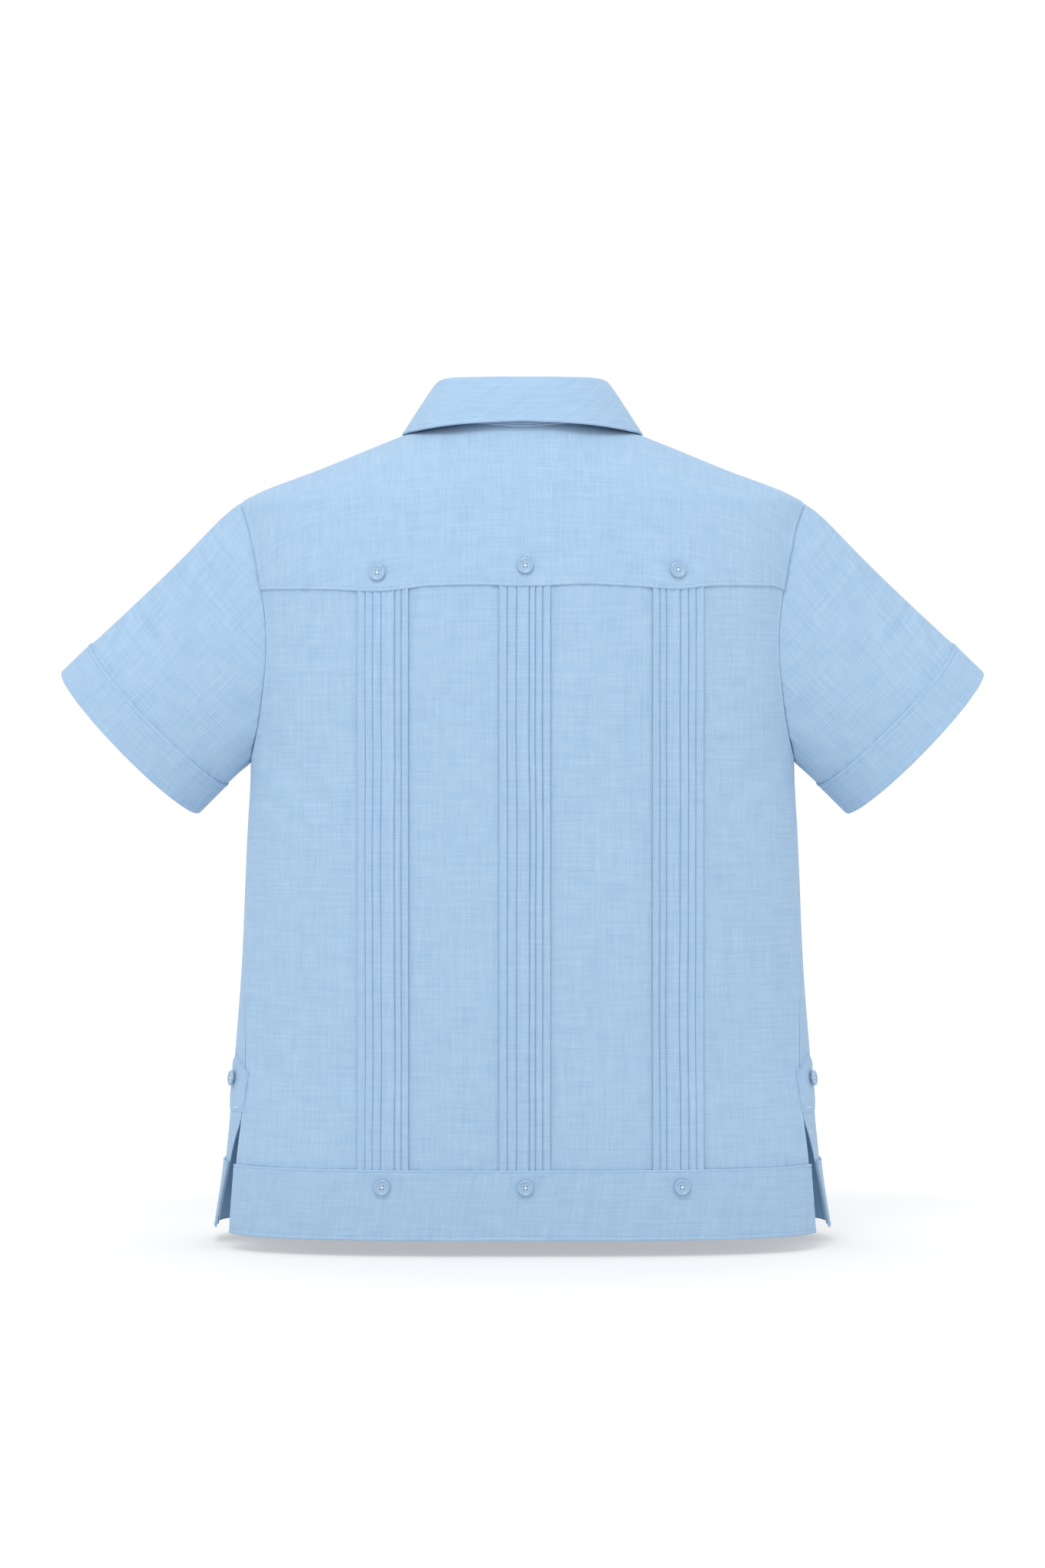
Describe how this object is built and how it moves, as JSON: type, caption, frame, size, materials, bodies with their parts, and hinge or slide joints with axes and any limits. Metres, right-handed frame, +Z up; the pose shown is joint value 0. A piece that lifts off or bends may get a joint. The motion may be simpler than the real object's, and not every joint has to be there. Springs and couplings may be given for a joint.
{
  "type": "guayabera shirt",
  "caption": "Short-sleeved straight-hemmed shirt in light blue cloth, with a back yoke, vertical tuck bands, hem bands, buttoned side vents and a pointed collar, filled out with no wearer.",
  "frame": {"origin": "base of the neck, midway between the shoulder points, where a wearer holds the shirt up", "axes": "+Z up, the front faces -Y, and the wearer's left is +X"},
  "size_m": [0.8232, 0.2323, 0.7521],
  "materials": {
    "cloth": "plain-woven light blue chambray with a fine slub",
    "button": "polished, dyed to match the cloth"
  },
  "bodies": {
    "root": {"back_panel": "cloth", "yoke": "cloth", "front_left": "cloth", "front_right": "cloth", "sleeve_left": "cloth", "sleeve_right": "cloth", "cuff_left": "cloth", "cuff_right": "cloth", "tuck_band_back_left": "cloth", "tuck_band_back_centre": "cloth", "tuck_band_back_right": "cloth", "tuck_band_front_left": "cloth", "tuck_band_front_right": "cloth", "hem_band_back": "cloth", "hem_band_front_left": "cloth", "hem_band_front_right": "cloth", "placket": "cloth", "side_tab_left": "cloth", "side_tab_right": "cloth", "collar_stand": "cloth", "collar_leaf": "cloth", "button_yoke_left": "button", "button_yoke_centre": "button", "button_yoke_right": "button", "button_hem_left": "button", "button_hem_centre": "button", "button_hem_right": "button", "button_side_left": "button", "button_side_right": "button", "button_front_1": "button", "button_front_2": "button", "button_front_3": "button", "button_front_4": "button", "button_front_5": "button", "button_front_6": "button"}
  },
  "joints": []
}
